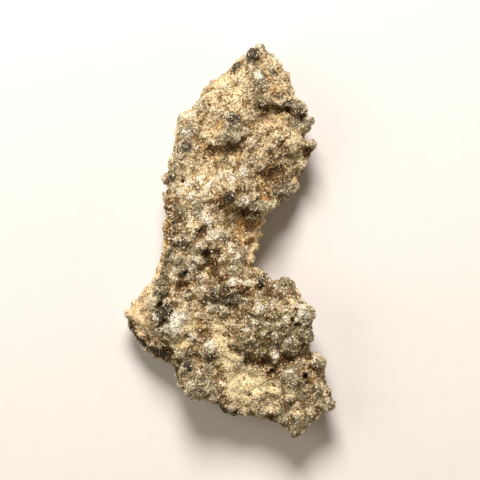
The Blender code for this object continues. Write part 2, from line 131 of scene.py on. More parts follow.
# Marks of the upper side, as (x, y, radius, strength)
MARKS: dict[Tone, tuple[Row, ...]] = {
    Tone.GREY: (
        (3.6, 22.4, 0.9, 0.9), (4.4, 22.1, 0.8, 0.7), (2.6, 21.6, 1.2, 0.8), (3.0, 19.5, 0.9, 0.5),
        (3.6, 18.4, 1.1, 0.8), (4.3, 16.3, 0.9, 0.8), (7.9, 15.6, 1.2, 0.9), (9.0, 13.9, 1.0, 0.7),
        (7.5, 13.8, 0.9, 0.6), (0.4, 12.8, 1.7, 0.7), (0.5, 13.9, 0.9, 0.9), (3.0, 14.4, 0.9, 0.5),
        (-4.9, 12.9, 1.3, 0.6), (-5.2, 10.8, 1.2, 0.8), (-6.6, 7.7, 1.1, 0.6), (9.7, 11.3, 0.9, 0.5),
        (8.7, 9.3, 0.9, 0.3), (6.3, 9.4, 1.4, 0.3), (-6.0, 9.3, 0.8, 0.5), (5.9, 6.4, 1.6, 0.9),
        (6.8, 5.6, 1.2, 0.8), (3.4, 3.9, 0.9, 0.8), (-3.5, 4.2, 0.7, 0.8), (-5.9, 3.5, 1.0, 0.7),
        # The grey marks from (-6.5, 1.0) to (-8.3, -6.0) are painted shade along the ridge line
        (-0.8, 0.5, 0.6, 1.0), (-6.5, 1.0, 0.5, 0.8), (-6.6, 0.0, 0.5, 0.8), (-6.9, -1.0, 0.5, 0.8),
        (-7.2, -2.0, 0.5, 0.8), (-7.5, -3.0, 0.5, 0.8), (-7.8, -4.0, 0.5, 0.8), (-8.1, -5.0, 0.5, 0.8),
        (-8.3, -6.0, 0.5, 0.7), (-5.3, 0.1, 1.2, 0.6), (-6.4, -2.6, 1.9, 0.6), (-4.0, -2.2, 1.3, 0.4),
        (0.8, -2.6, 0.9, 0.5), (-7.9, -5.4, 1.1, 0.9), (-1.0, -6.4, 1.5, 1.0), (0.5, -6.6, 1.3, 1.0),
        (-2.2, -6.9, 1.2, 0.8), (-7.4, -10.8, 1.0, 0.5), (4.4, -4.6, 0.8, 0.5), (-3.4, -6.2, 0.9, 0.6),
        (-9.0, -10.9, 0.8, 0.5), (6.6, -5.4, 1.6, 0.7), (8.5, -8.6, 1.5, 0.7), (8.8, -10.8, 1.4, 0.9),
        (6.6, -12.5, 1.3, 0.5), (-7.9, -7.4, 0.8, 0.6), (-2.3, -12.9, 1.2, 0.7), (-2.4, -14.7, 0.9, 0.3),
        (-3.3, -16.3, 2.1, 0.7), (-4.0, -17.6, 1.3, 0.6), (-1.8, -17.5, 1.2, 0.6),
        (-4.7, -14.5, 1.0, 0.8), (7.1, -15.9, 1.4, 0.8), (10.3, -14.2, 1.0, 0.5), (8.6, -17.7, 1.1, 0.5),
        (10.4, -18.2, 1.3, 0.7), (11.7, -19.1, 1.0, 0.6), (6.2, -20.6, 1.2, 0.7), (7.6, -21.6, 1.4, 0.9),
        (9.4, -20.8, 1.2, 0.6), (3.9, -18.8, 0.9, 0.4),
    ),
    # Black glass knobs and holes, and painted shadow under ledges and knobs and on rim walls
    Tone.DARK: (
        (2.7, 21.6, 0.8, 1.0), (0.7, 20.1, 0.7, 0.8), (5.0, 19.5, 0.5, 0.7), (3.8, 15.7, 0.6, 1.0),
        (0.5, 14.2, 0.8, 1.0), (0.2, 13.6, 0.5, 0.8), (-5.0, 11.0, 0.6, 0.8), (-6.9, 7.2, 0.7, 0.6),
        (0.0, 5.1, 0.7, 1.0), (6.9, 16.1, 0.5, 0.7), (-5.4, -0.4, 0.7, 0.9), (-5.2, -3.8, 0.5, 1.0),
        (-7.6, -5.7, 0.5, 0.6), (-7.9, -6.9, 0.4, 0.4), (-7.5, -8.4, 1.1, 1.0), (-7.2, -7.8, 0.7, 0.9),
        (-8.2, -10.4, 0.5, 0.5), (-8.7, -12.9, 0.7, 0.7), (-7.7, -13.4, 0.8, 0.8), (-4.8, -5.9, 0.5, 0.8),
        (-2.0, -6.0, 0.6, 0.8), (-0.5, -5.6, 0.5, 0.8), (-2.8, -6.5, 0.4, 0.7), (-4.7, -14.6, 0.7, 1.0),
        (-2.3, -13.5, 0.7, 0.8), (3.7, -4.8, 0.9, 0.9), (9.0, -10.6, 0.6, 0.6), (2.5, 4.2, 0.5, 0.6),
        (-1.3, -6.4, 1.0, 0.4), (0.3, -6.5, 1.0, 0.4),
    ),
    Tone.MILKY: (
        (3.4, 18.8, 0.7, 1.0), (3.3, 22.5, 0.5, 0.4), (1.7, 4.7, 0.6, 1.0), (-3.3, 3.1, 1.0, 0.5),
        (-2.6, 2.0, 0.9, 0.6), (-2.0, 0.6, 0.8, 0.6), (0.2, -0.8, 0.8, 0.5), (0.9, -2.4, 0.6, 0.3),
        (8.6, -8.7, 0.8, 0.8), (8.8, -9.6, 0.5, 0.6), (0.3, -4.8, 0.5, 0.7), (1.2, -4.8, 0.5, 0.5),
        (2.1, -4.8, 0.6, 0.6), (-3.0, -5.4, 0.6, 0.4), (-6.1, -9.3, 1.3, 1.0), (-7.3, -10.1, 0.8, 1.0),
        (-8.5, -9.1, 0.6, 1.0), (-2.1, -7.8, 0.6, 0.7), (3.6, -8.0, 0.7, 0.8), (-2.1, -12.1, 0.8, 1.0),
        (5.3, -13.3, 0.6, 0.9), (5.1, -12.6, 0.5, 0.7), (8.2, -8.0, 0.9, 0.7), (-4.6, 14.5, 0.9, 0.5),
        (0.9, 12.2, 0.6, 0.6), (1.6, 8.0, 0.7, 0.6), (-4.8, 6.6, 0.5, 0.7), (-3.6, 7.1, 0.5, 0.7),
        (-4.4, 5.2, 0.6, 0.7), (-2.2, 6.6, 0.6, 0.7), (-3.0, 5.4, 0.5, 0.7), (-5.9, 5.6, 0.6, 0.7),
        (-1.2, 7.5, 0.5, 0.6), (0.3, 7.2, 0.6, 0.6), (-4.7, 2.4, 0.5, 0.7), (-4.2, 3.2, 0.4, 0.6),
        (2.9, -9.6, 0.4, 0.7), (4.1, -9.7, 0.4, 0.6), (5.2, -11.0, 0.45, 0.7), (6.5, -9.1, 0.4, 0.7),
        (3.9, -11.0, 0.35, 0.6), (7.3, -11.6, 0.45, 0.7), (2.0, -10.3, 0.45, 0.6), (5.8, -9.9, 0.4, 0.6),
        (4.9, -7.4, 0.4, 0.6), (6.3, -8.0, 0.4, 0.6), (2.0, -6.9, 0.4, 0.5), (7.9, -9.2, 0.4, 0.7),
        (3.2, -7.0, 0.4, 0.5), (5.2, -5.4, 0.4, 0.5), (6.5, -11.8, 0.35, 0.6), (3.2, -12.2, 0.35, 0.6),
        (-3.6, -15.4, 0.4, 0.5), (-2.6, -16.4, 0.4, 0.5), (-4.4, -16.6, 0.4, 0.5), (-5.7, 1.6, 0.5, 0.2),
        (-3.6, -0.6, 0.5, 0.6), (-4.2, -2.2, 0.5, 0.5), (-4.4, -11.2, 0.7, 0.4), (-5.0, 12.2, 0.6, 0.6),
        (9.0, 14.1, 0.5, 0.5), (-4.6, -3.2, 0.6, 0.6), (0.2, -1.2, 0.4, 0.6), (1.0, -1.9, 0.4, 0.6),
        (0.6, -3.2, 0.4, 0.6), (1.6, -3.3, 0.4, 0.6), (-6.4, -3.4, 0.4, 0.5), (-3.4, -4.4, 0.4, 0.6),
        (7.0, -15.4, 0.6, 0.5),
    ),
    Tone.CREAM: (
        (-0.9, 18.4, 1.3, 0.7), (0.4, 16.8, 1.6, 0.5), (1.0, 19.3, 1.0, 0.6), (5.4, 20.4, 1.0, 0.5),
        (-4.6, 14.6, 1.1, 0.7), (0.6, 15.5, 1.0, 0.5), (7.8, 12.1, 1.3, 0.5), (-4.2, 6.4, 1.5, 0.3),
        (-2.0, 6.3, 1.3, 0.3), (-5.6, 5.3, 1.0, 0.4), (-4.6, 2.6, 1.2, 0.4), (0.9, -15.8, 1.4, 1.0),
        (2.5, -15.9, 1.3, 1.0), (0.9, -17.5, 1.6, 0.9), (3.2, -17.2, 1.5, 0.9), (5.1, -17.4, 1.2, 0.7),
        (2.1, -19.2, 1.3, 0.6), (4.6, -19.4, 1.1, 0.5), (7.8, -19.6, 0.9, 0.5), (5.8, -7.5, 0.9, 0.5),
        # (0.3, 2.8) is painted light, which lifts the shade under the ledge above it
        (7.1, -7.4, 0.8, 0.6), (-6.0, -12.2, 0.9, 0.5), (-5.6, -7.6, 0.8, 0.5), (0.3, 2.8, 0.7, 0.6),
        (-2.3, -9.0, 1.0, 0.4), (7.2, -17.1, 1.2, 0.8), (4.0, 9.6, 0.9, 0.4), (7.4, 10.6, 0.7, 0.4),
        (-1.2, 1.8, 0.8, 0.5), (0.0, 0.9, 0.7, 0.4), (-2.2, -15.2, 0.8, 0.5), (-1.6, -14.2, 0.7, 0.6),
        (-3.6, -2.9, 0.7, 0.5), (-4.7, -9.5, 1.0, 0.9), (-5.6, -11.9, 0.9, 0.7), (7.9, 9.6, 0.8, 0.7),
        (8.7, 8.4, 0.6, 0.6), (9.3, 12.2, 0.7, 0.6), (-3.2, -3.7, 0.8, 0.5), (0.3, -13.6, 0.9, 0.8),
    ),
    Tone.PEACH: (
        (-8.6, -4.1, 0.7, 0.9), (-9.4, -5.4, 1.3, 1.0), (-9.6, -7.0, 1.4, 1.0), (-10.8, -8.2, 1.4, 1.0),
        (-9.8, -9.4, 1.4, 0.9), (-10.2, -10.6, 0.9, 0.8), (3.7, 1.6, 0.8, 1.0), (2.3, 1.8, 0.9, 0.3),
        (2.6, 0.5, 1.0, 0.9), (3.1, 0.4, 0.9, 0.9), (2.9, -0.9, 0.8, 1.0), (1.9, 0.4, 0.8, 0.4),
        (2.4, -1.6, 0.8, 0.6), (2.3, -2.2, 0.9, 0.9), (2.0, -3.4, 0.6, 0.8), (-7.2, 1.6, 0.7, 0.3),
        (-7.2, 0.5, 0.6, 0.5), (-7.4, -0.6, 0.6, 0.6), (-7.8, -1.8, 0.5, 0.7), (-8.1, -3.0, 0.5, 0.9),
        (-8.2, -5.4, 0.6, 0.9), (-8.9, -11.2, 0.9, 0.6), (4.7, 14.2, 1.2, 1.0), (5.9, 13.9, 1.0, 0.8),
        (3.6, 13.0, 0.8, 0.5), (4.8, 16.6, 0.8, 0.5), (-2.2, 13.0, 1.1, 0.8), (6.6, 19.0, 0.9, 0.6),
        (7.3, 17.5, 0.8, 0.7), (-2.6, 8.2, 1.3, 0.4), (3.2, -15.6, 0.9, 0.5), (-4.0, -8.2, 1.2, 0.5),
        (-2.3, -9.0, 1.1, 0.5), (6.2, 17.9, 1.1, 0.5), (-2.4, 16.4, 0.9, 0.9), (4.2, 10.6, 1.2, 0.4),
    ),
    Tone.RUST: (
        (4.2, 4.9, 0.5, 1.0), (4.4, 14.6, 0.6, 0.3), (-2.4, 9.8, 0.7, 0.5), (4.6, 20.8, 0.5, 0.5),
        (8.0, 10.6, 0.5, 0.6), (-6.9, 4.8, 0.6, 0.3), (-2.5, 16.4, 0.4, 0.6), (4.2, -5.2, 0.6, 0.5),
        (6.9, -6.3, 0.6, 0.5), (9.5, -16.2, 0.7, 0.7), (-8.6, -9.9, 0.5, 0.4), (3.8, 21.5, 0.4, 0.6),
        (4.2, -4.9, 0.6, 0.6), (-8.2, -11.7, 0.5, 0.4), (4.7, 18.8, 0.4, 0.6), (0.4, -11.7, 0.5, 0.4),
    ),
    # Painted shadow, with dirt: under ledges, lumps and knobs, in the creases between them and on rim
    # walls that face away from the lamp
    Tone.BROWN: (
        (4.7, 15.3, 0.75, 1.0), (5.7, 15.2, 0.85, 1.0), (6.8, 15.2, 0.75, 1.0), (7.8, 14.7, 0.8, 0.6),
        (-2.2, 10.3, 0.8, 0.7), (-0.4, 10.6, 0.8, 0.6), (1.1, 10.7, 0.8, 0.3), (-3.0, 9.6, 0.6, 0.5),
        (9.0, 10.4, 0.7, 1.0), (5.5, 7.9, 1.2, 0.8), (5.2, 16.9, 0.8, 0.4), (12.0, -18.3, 0.6, 0.6),
        (11.2, -16.6, 0.5, 0.4), (5.0, 7.0, 1.3, 1.0), (4.3, 5.9, 0.9, 0.6), (-1.1, 4.4, 0.8, 0.8),
        (0.3, 4.2, 0.7, 0.6), (1.7, 3.2, 0.9, 0.9), (2.9, 3.1, 0.8, 0.9), (2.1, 2.4, 0.8, 0.8),
        (2.0, 1.2, 0.6, 0.6), (2.0, -0.4, 0.6, 0.6), (-1.5, -1.6, 0.7, 0.7), (-3.3, 0.9, 0.8, 0.7),
        (-2.8, 1.4, 0.5, 0.7), (-2.4, -1.7, 0.9, 1.0), (-1.9, -2.6, 0.7, 0.6), (-1.6, -3.6, 1.0, 0.8),
        (-1.2, -4.6, 0.8, 0.8), (-5.3, -5.1, 0.9, 0.8), (3.6, -5.6, 0.8, 0.9), (1.5, -6.1, 1.0, 0.9),
        (-0.5, -5.9, 0.8, 0.9), (-2.2, -5.6, 0.7, 0.6), (1.5, -12.8, 1.1, 0.5), (2.6, -13.5, 1.2, 0.8),
        (3.8, -13.8, 1.2, 0.8), (4.3, -14.6, 0.9, 0.5), (6.4, -13.9, 1.0, 0.8), (7.8, -13.5, 0.9, 0.6),
        (5.3, -15.2, 0.8, 0.6), (6.0, -16.4, 0.6, 0.5), (9.0, -13.5, 0.7, 0.7), (9.5, -14.9, 0.7, 0.6),
        (9.4, -18.6, 0.6, 0.4), (-2.9, -14.0, 0.7, 0.3), (-7.3, 2.4, 0.6, 0.7), (-6.9, 1.6, 0.5, 0.7),
        (-7.3, 3.4, 0.7, 0.9), (-7.2, 5.4, 0.6, 0.6), (3.1, 13.4, 0.6, 0.5), (1.3, 6.2, 0.6, 0.4),
        (-11.4, -10.2, 0.4, 1.0), (-10.9, -11.0, 0.45, 1.0), (-10.2, -11.8, 0.5, 1.0),
        (-9.6, -12.4, 0.6, 1.0), (-8.9, -12.6, 1.0, 1.0), (-8.0, -13.0, 1.3, 1.0),
        (-7.2, -13.5, 0.9, 1.0), (-6.9, -12.9, 0.8, 0.9), (-1.3, -19.2, 0.6, 1.0),
        (-0.4, -19.8, 0.7, 1.0), (0.5, -20.1, 0.7, 1.0), (4.6, -20.8, 0.7, 0.9), (5.4, -21.3, 0.7, 0.9),
        (6.3, -22.0, 0.7, 0.9), (-7.2, 4.5, 0.7, 0.9), (4.9, -15.8, 1.1, 0.6), (11.7, -18.0, 0.6, 0.4),
        (4.3, -9.2, 0.5, 0.5), (-6.3, 3.0, 0.6, 0.5), (2.2, -8.8, 0.45, 0.7), (3.4, -10.2, 0.45, 0.7),
        (4.9, -9.1, 0.4, 0.5), (6.1, -10.6, 0.5, 0.8), (5.4, -8.3, 0.45, 0.5), (4.7, -6.0, 1.0, 0.8),
        (7.0, -5.4, 0.8, 0.5), (7.0, -9.9, 0.4, 0.7), (8.2, -11.6, 0.5, 0.7), (6.6, -7.4, 0.4, 0.6),
        (3.0, -11.3, 0.45, 0.7), (4.6, -11.7, 0.45, 0.8), (2.5, -7.6, 0.45, 0.7), (5.9, -6.6, 0.45, 0.7),
        (7.6, -8.2, 0.4, 0.6), (1.4, -8.2, 0.5, 0.7), (0.9, -9.4, 0.5, 0.6), (6.9, -5.9, 0.4, 0.6),
        (8.3, -12.5, 0.45, 0.7), (5.5, -12.3, 0.5, 0.8), (7.2, -12.6, 0.4, 0.7), (-3.0, -15.8, 0.4, 0.6),
        (-4.2, -15.9, 0.4, 0.6), (-3.4, -17.1, 0.4, 0.6), (9.6, -18.0, 0.45, 0.5),
        (8.4, -19.2, 0.45, 0.5), (10.2, -19.6, 0.45, 0.6), (6.9, -20.8, 0.45, 0.5),
    ),
    # Olive-grey glass, and painted shade on slopes that face away from the lamp and above ledges
    Tone.OLIVE: (
        (2.3, -9.5, 2.2, 0.6), (5.0, -10.0, 2.6, 0.9), (7.0, -8.0, 1.8, 0.6), (7.2, -10.8, 1.9, 0.9),
        (6.5, -6.0, 1.8, 0.8), (3.8, -12.0, 1.8, 1.0), (6.6, -12.2, 1.8, 1.0), (8.4, -13.0, 1.4, 0.9),
        (1.0, -11.4, 1.1, 0.4), (-1.4, -1.2, 0.8, 0.7), (2.0, -12.6, 1.3, 0.6), (8.5, -18.0, 2.0, 0.7),
        (7.0, -14.6, 1.4, 0.7), (9.5, -20.0, 2.0, 0.4), (6.0, -21.0, 1.6, 0.6), (10.5, -16.0, 1.5, 0.5),
        (-3.0, -17.0, 2.0, 0.6), (-5.5, -15.0, 1.3, 0.5), (6.8, 7.5, 1.6, 0.5), (7.6, 9.2, 1.2, 0.4),
        (5.6, 9.3, 1.4, 0.3), (-4.0, -1.0, 2.0, 0.5), (-5.0, -6.5, 1.5, 0.4), (-1.5, -4.5, 1.4, 0.4),
        (2.6, -8.2, 1.6, 0.4), (1.4, 7.4, 1.2, 0.3), (-5.5, 8.5, 1.2, 0.4), (-6.2, 2.5, 1.0, 0.5),
        (8.0, 12.9, 1.2, 0.3), (3.5, 17.5, 1.4, 0.6), (4.2, -6.8, 1.6, 0.6), (-6.0, 8.0, 1.6, 0.5),
        (-3.4, 8.6, 1.2, 0.5), (-2.6, 18.2, 1.0, 0.2), (0.2, 17.0, 1.4, 0.35), (5.6, 18.6, 1.0, 0.3),
        (-0.6, 8.9, 1.0, 0.4), (0.6, -1.0, 1.2, 0.8), (0.5, -2.8, 1.4, 0.8), (1.6, -3.8, 0.9, 0.6),
        (4.8, -5.6, 1.4, 0.9), (5.8, -16.2, 1.2, 0.9), (-4.4, -5.0, 0.9, 0.5), (-0.6, 13.0, 1.0, 0.4),
        (-6.6, -4.0, 1.4, 0.5), (-4.6, 4.0, 1.2, 0.4), (-1.6, 2.6, 1.0, 0.4), (-3.0, -4.4, 1.2, 0.5),
    ),
    Tone.GOLD: (
        (3.3, 1.7, 1.0, 0.7), (2.4, 2.2, 0.9, 1.0), (1.9, 1.3, 0.8, 0.9), (1.2, 2.2, 0.8, 0.9),
        (1.2, 1.2, 0.8, 0.9), (1.4, 0.3, 0.7, 0.9), (1.8, -0.7, 0.5, 0.8), (2.2, -0.2, 0.7, 0.8),
        (2.0, -1.6, 0.6, 0.8), (-1.9, -3.6, 0.8, 0.8), (-1.5, -2.6, 0.6, 0.6), (5.6, 14.4, 0.8, 0.5),
        (4.6, 8.0, 1.2, 0.6), (4.2, 6.4, 0.9, 0.6), (-3.4, -9.5, 0.6, 0.6), (-1.3, 13.2, 1.3, 0.7),
        (-1.6, 10.0, 0.9, 0.5), (0.9, 9.8, 0.8, 0.4), (5.0, 17.3, 0.8, 0.5), (-5.2, -4.9, 0.7, 0.6),
        (-0.4, 3.4, 0.7, 0.5), (0.6, -10.6, 0.6, 0.4), (-2.9, 10.9, 0.7, 0.5),
    ),
    # Pinholes, with painted shade inside
    Tone.PIT: (
        (7.3, -9.3, 0.3, 0.9), (7.95, -9.9, 0.42, 1.0), (8.7, -15.8, 0.35, 0.6), (8.95, -16.5, 0.3, 0.5),
        (4.9, -15.2, 0.24, 0.6), (-5.6, 6.85, 0.28, 1.0), (-1.0, 16.9, 0.2, 0.6), (-2.4, 15.7, 0.2, 0.5),
        (-5.2, -3.85, 0.28, 0.6), (-8.2, 11.3, 0.2, 0.5), (4.3, -9.2, 0.25, 0.5),
    ),
}

# Seams of the upper side: the tone, radius and strength, and the points (x, y) that each runs through
SEAMS: tuple[tuple[Tone, float, float, tuple[tuple[float, float], ...]], ...] = (
    # Painted shadow along the ridge line at the left
    (Tone.DARK, 0.26, 0.45, ((-6.5, 1.8), (-6.65, 0.2), (-7.3, -2.1), (-8.0, -4.2), (-8.35, -6.4))),
    (Tone.CREAM, 0.8, 1.0, ((-1.5, -10.4), (-1.0, -12.0), (-0.5, -13.5), (0.0, -15.0), (0.4, -17.0))),
    # Brownish and black seams on rim walls that face away from the lamp: painted shadow
    (Tone.BROWN, 0.35, 1.0, ((-11.6, -9.6), (-11.0, -11.0), (-9.8, -12.3), (-8.6, -13.3), (-7.0, -14.0))),
    (Tone.BROWN, 0.35, 1.0, ((-1.6, -19.1), (-0.4, -20.0), (0.9, -20.3), (2.6, -20.4))),
    (Tone.BROWN, 0.35, 0.9, ((4.4, -20.8), (5.4, -21.5), (6.4, -22.2))),
    (Tone.DARK, 0.35, 0.6, ((-1.2, -19.6), (0.2, -20.3), (1.6, -20.6))),
    (Tone.DARK, 0.35, 0.6, ((4.8, -21.2), (5.6, -21.8), (6.4, -22.3))),
    (Tone.DARK, 0.3, 0.5, ((-11.4, -10.4), (-10.6, -11.7), (-9.4, -12.8))),
    (Tone.DARK, 0.5, 0.7, ((-9.4, -12.6), (-8.4, -13.1), (-7.3, -13.6))),
    (Tone.BROWN, 0.35, 0.6, ((-6.7, -14.3), (-6.0, -16.0), (-5.3, -17.6))),
    # Painted light on the rim at the right of the shelf, which faces away from the lamp
    (Tone.CREAM, 0.45, 1.0, ((4.0, 2.3), (3.6, 0.2), (3.3, -1.4), (2.7, -2.8))),
    (Tone.PEACH, 0.5, 1.0, ((4.4, 2.6), (4.0, 1.2), (3.8, 0.0), (3.5, -1.4))),
    # Painted shadow on the side wall at the left edge
    (Tone.BROWN, 0.45, 0.7, ((-7.1, 2.4), (-7.15, 0.9), (-7.2, -0.6))),
    # Painted light on the rim at the right, which faces away from the lamp
    (Tone.PEACH, 0.5, 1.0, ((9.2, 9.4), (8.4, 7.4), (7.6, 5.9))),
    (Tone.GOLD, 0.5, 0.8, ((-7.4, 2.4), (-7.45, 0.4), (-7.7, -1.2), (-8.1, -2.6), (-8.6, -4.0))),
    (Tone.GOLD, 0.6, 0.45, ((0.0, 19.4), (-1.8, 18.4), (-3.8, 16.2), (-5.4, 14.9))),
)

# How far a mark of each tone stands out of the crust, in millimetres, and how steeply: low is steep
STANDS_OUT_MM: dict[Tone, tuple[float, float]] = {
    Tone.GREY: (0.25, 1.0),
    Tone.DARK: (0.35, 0.8),
    Tone.MILKY: (0.18, 1.0),
    Tone.CREAM: (0.0, 1.0),
    Tone.PEACH: (0.0, 1.0),
    Tone.RUST: (0.1, 1.0),
    Tone.BROWN: (-0.15, 2.0),
    Tone.OLIVE: (0.0, 1.0),
    Tone.GOLD: (-0.05, 1.0),
    Tone.PIT: (-0.7, 1.5),
}

# How large a share of the marks of the hidden side each tone has
HIDDEN_SHARES: dict[Tone, float] = {
    Tone.GREY: 0.2, Tone.DARK: 0.07, Tone.MILKY: 0.12, Tone.CREAM: 0.14, Tone.PEACH: 0.14,
    Tone.RUST: 0.05, Tone.BROWN: 0.08, Tone.OLIVE: 0.1, Tone.GOLD: 0.08, Tone.PIT: 0.02,
}

# Lumps and, below 0, dents of the upper side with no tone of their own, as (x, y, radius, height)
SWELLS: tuple[Row, ...] = (
    (2.6, 1.2, 1.0, -0.35), (1.5, 0.5, 0.7, -0.45), (1.9, -0.8, 0.5, -0.3), (3.4, 18.8, 0.6, 0.3),
    (2.4, -0.4, 0.9, -0.6), (2.3, -1.8, 0.8, -0.5), (2.5, 0.9, 0.6, -0.3), (2.1, -3.0, 0.6, -0.4),
    (0.0, -0.6, 0.7, 0.25), (2.3, 2.4, 1.1, 0.5), (1.2, 2.9, 0.8, 0.3), (3.1, 0.2, 0.6, 0.15),
    (4.1, 2.1, 0.6, 0.5), (3.8, 0.6, 0.6, 0.5), (3.5, -0.8, 0.6, 0.35), (7.2, -18.0, 1.1, 0.5),
    (-1.8, 12.9, 1.2, -0.5), (-1.6, 11.8, 0.9, -0.4), (0.6, 12.0, 0.9, 0.35), (-8.1, -6.1, 0.7, 0.3),
    (-7.8, -6.8, 0.7, 0.35), (-7.3, -7.3, 0.7, 0.35), (-6.3, -8.1, 1.2, -0.55), (-6.3, -10.7, 1.5, 0.7),
    (-5.6, -12.8, 1.2, 0.65), (0.9, -14.0, 1.0, 0.4), (-1.5, -1.6, 0.7, -0.3), (10.2, -8.2, 0.8, -0.5),
    (2.0, -13.0, 1.3, 0.45), (3.4, -13.4, 1.2, 0.45), (-0.7, -13.2, 1.2, 0.35), (-0.1, -14.9, 1.3, 0.65),
    (-9.6, -11.4, 1.0, -0.35), (4.6, -7.8, 1.0, 0.25), (0.0, 2.8, 0.8, 0.4), (-4.7, -10.4, 0.9, 0.3),
    (5.0, 14.4, 0.9, 0.35), (6.4, 14.3, 0.9, 0.3), (4.2, 8.8, 1.0, 0.2), (5.0, 7.0, 0.9, -0.25),
    (7.6, 10.6, 0.8, 0.3), (0.0, 10.6, 0.9, 0.35), (-3.4, -2.6, 0.8, 0.3), (6.3, -4.9, 0.7, 0.5),
    (-3.2, -5.6, 0.8, -0.25), (7.4, -13.0, 1.0, 0.3),
)


class Field:
    """A socket of a node tree that Python sums can be written with."""

    def __init__(self, graph: "Graph", socket: NodeSocket) -> None:
        """Keep the socket, and the graph that new Math nodes go to."""
        self.graph = graph
        self.socket = socket

    def __add__(self, other: Term) -> "Field":
        """Return self + other."""
        return self.graph.maths("ADD", self, other)

    def __sub__(self, other: Term) -> "Field":
        """Return self - other."""
        return self.graph.maths("SUBTRACT", self, other)

    def __rsub__(self, other: Term) -> "Field":
        """Return other - self."""
        return self.graph.maths("SUBTRACT", other, self)

    def __mul__(self, other: Term) -> "Field":
        """Return self * other."""
        return self.graph.maths("MULTIPLY", self, other)

    def __pow__(self, other: Term) -> "Field":
        """Return self to the power of other."""
        return self.graph.maths("POWER", self, other)

    __radd__ = __add__
    __rmul__ = __mul__

    def clamped(self) -> "Field":
        """Return the value held between 0 and 1."""
        return self.graph.maths("ADD", self, 0.0, clamp=True)


def named(sockets: Any, name: str) -> NodeSocket:
    """Return the socket in use that has that name."""
    return next(socket for socket in sockets if socket.name == name and socket.enabled)


class Graph:
    """A node tree under construction, for a material or for Geometry Nodes."""

    def __init__(self, tree: NodeTree) -> None:
        """Start with the tree's nodes removed."""
        self.tree = tree
        tree.nodes.clear()

    def feed(self, socket: NodeSocket, value: Any) -> None:
        """Give a socket what feeds it.

        Args:
            socket: the input.
            value: a plain value, or the Field or socket that is linked to it.
        """
        value = value.socket if isinstance(value, Field) else value
        if isinstance(value, NodeSocket):
            self.tree.links.new(value, socket)
        else:
            socket.default_value = value

    def node(self, kind: str, settings: dict[str, Any], sockets: dict[str, Any]) -> Node:
        """Add one node.

        Args:
            kind: the node's type name.
            settings: its properties, which decide which sockets it has.
            sockets: for each input's name, a value or the Field or socket that feeds it.

        Returns:
            The new node.
        """
        node = self.tree.nodes.new(kind)
        for name, value in settings.items():
            setattr(node, name, value)
        for name, value in sockets.items():
            self.feed(named(node.inputs, name), value)
        return node

    def field(self, node: Node, name: str) -> Field:
        """Return the node's output of that name, for use in sums."""
        return Field(self, named(node.outputs, name))

    def maths(self, operation: str, first: Term, second: Term, clamp: bool = False) -> Field:
        """Add a Math node.

        Args:
            operation: the Math node's operation.
            first: its first term.
            second: its second term.
            clamp: whether the result is held between 0 and 1.

        Returns:
            The node's result.
        """
        node = self.node("ShaderNodeMath", {"operation": operation, "use_clamp": clamp}, {})
        self.feed(node.inputs[0], first)
        self.feed(node.inputs[1], second)
        return Field(self, node.outputs[0])

    def mixed(self, share: Term, first: Any, second: Any) -> Field:
        """Return a colour between two colours.

        Args:
            share: how much of the second colour there is, from 0 to 1.
            first: a colour, or the Field of one.
            second: a colour, or the Field of one.

        Returns:
            The mixed colour.
        """
        ends = [entry if isinstance(entry, Field) else (*entry, 1.0) for entry in (first, second)]
        node = self.node(
            "ShaderNodeMix", {"data_type": "RGBA"}, {"Factor": share, "A": ends[0], "B": ends[1]}
        )
        return self.field(node, "Result")

    def stretched(self, vector: Any, factor: Any) -> NodeSocket:
        """Return a vector times a number."""
        sockets = {"Vector": vector, "Scale": factor}
        return self.node("ShaderNodeVectorMath", {"operation": "SCALE"}, sockets).outputs["Vector"]

    def place(self) -> NodeSocket:
        """Return the object's own coordinates, at which its patterns are read."""
        return self.node("ShaderNodeTexCoord", {}, {}).outputs["Object"]

    def attribute(self, name: str) -> Field:
        """Return a number that the mesh carries at each point."""
        return self.field(self.node("ShaderNodeAttribute", {"attribute_name": name}, {}), "Fac")

    def cloud(self, place: Any, size_mm: float, detail: float) -> Field:
        """Return a noise of soft blotches.

        Args:
            place: where the noise is read.
            size_mm: how wide a blotch is.
            detail: how many finer noises are added.

        Returns:
            The noise, around 0.5.
        """
        sockets = {"Vector": place, "Scale": 1.0 / (size_mm * MM), "Detail": detail}
        return self.field(self.node("ShaderNodeTexNoise", {}, sockets), "Fac")


def new_material(name: str) -> tuple[Material, Graph, Node]:
    """Make a material with a bare Principled shader.

    Args:
        name: the material's name.

    Returns:
        The material, its graph and its Principled node.
    """
    material = bpy.data.materials.new(name)
    material.use_nodes = True
    graph = Graph(material.node_tree)
    shader = graph.node("ShaderNodeBsdfPrincipled", {}, {"Specular IOR Level": DULL_SPECULAR})
    graph.node("ShaderNodeOutputMaterial", {}, {"Surface": shader.outputs[0]})
    return material, graph, shader


def scaled(colour: Colour, factor: float) -> Colour:
    """Return a colour made lighter or darker by a factor."""
    return tuple(part * factor for part in colour)


